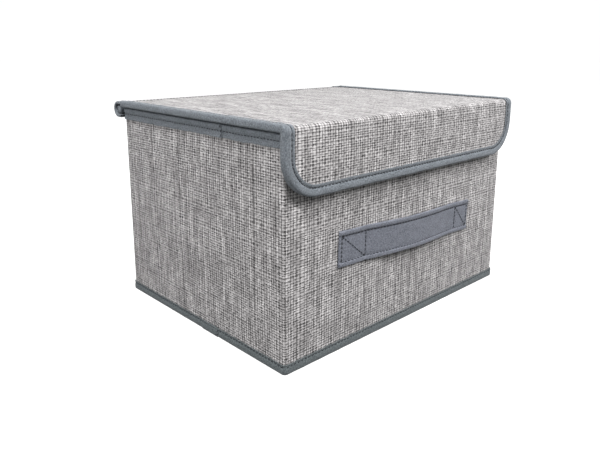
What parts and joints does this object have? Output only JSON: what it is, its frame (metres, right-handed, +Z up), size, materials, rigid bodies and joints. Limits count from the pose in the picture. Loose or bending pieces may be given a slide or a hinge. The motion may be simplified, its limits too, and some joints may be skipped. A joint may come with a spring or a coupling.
{
  "type": "fabric storage bin",
  "caption": "Rectangular fold-flat fabric storage box with a hinged, flap-front lid, a tape handle on the wide front wall and a loose stiff base.",
  "frame": {"origin": "middle of the box's footprint, on the floor", "axes": "+X along the wide front wall, -Y out of the front wall with the handle and the lid's flap, +Z up"},
  "size_m": [0.2648, 0.2147, 0.1639],
  "materials": {
    "linen_cloth": "coarse slub weave",
    "tape": "matte non-woven",
    "lining": "matte non-woven",
    "thread": "matte",
    "cardboard": "raw grey board"
  },
  "bodies": {
    "box": {"front_board": "cardboard", "back_board": "cardboard", "left_board": "cardboard", "right_board": "cardboard", "outer_cover": "linen_cloth", "wall_lining": "lining", "rim_binding": "tape", "bottom_binding": "tape", "base_cloth": "lining", "hinge_strip": "tape", "rim_thread": "thread", "bottom_thread": "thread", "handle_end_left": "tape", "handle_end_right": "tape", "handle_thread_left": "thread", "handle_thread_right": "thread"},
    "base_insert": {"base_board": "cardboard", "base_board_cover": "lining"},
    "handle": {"handle_grip": "tape"},
    "lid": {"lid_board": "cardboard", "lid_cover": "linen_cloth", "lid_lining": "lining", "lid_binding_left": "tape", "lid_binding_right": "tape", "lid_thread": "thread", "fold_strip": "linen_cloth"},
    "flap": {"flap_board": "cardboard", "flap_cover": "linen_cloth", "flap_lining": "lining", "flap_binding": "tape", "flap_thread": "thread"}
  },
  "joints": [
    {"name": "lid_hinge", "type": "hinge", "parent": "box", "child": "lid", "pos_m": [0, 0.1025, 0.157], "axis": [-1, 0, 0], "range_deg": [0, 210], "deforming": ["hinge_strip"]},
    {"name": "flap_hinge", "type": "hinge", "parent": "lid", "child": "flap", "pos_m": [0, -0.1002, 0.1596], "axis": [-1, 0, 0], "range_deg": [0, 90], "deforming": ["fold_strip"]},
    {"name": "base_lift", "type": "slide", "parent": "box", "child": "base_insert", "axis": [0, 0, 1], "range_m": [0, 0.15]},
    {"name": "handle_pull", "type": "slide", "parent": "box", "child": "handle", "axis": [0, -1, 0], "range_m": [0, 0.006], "stiffness_N_per_m": 30}
  ]
}
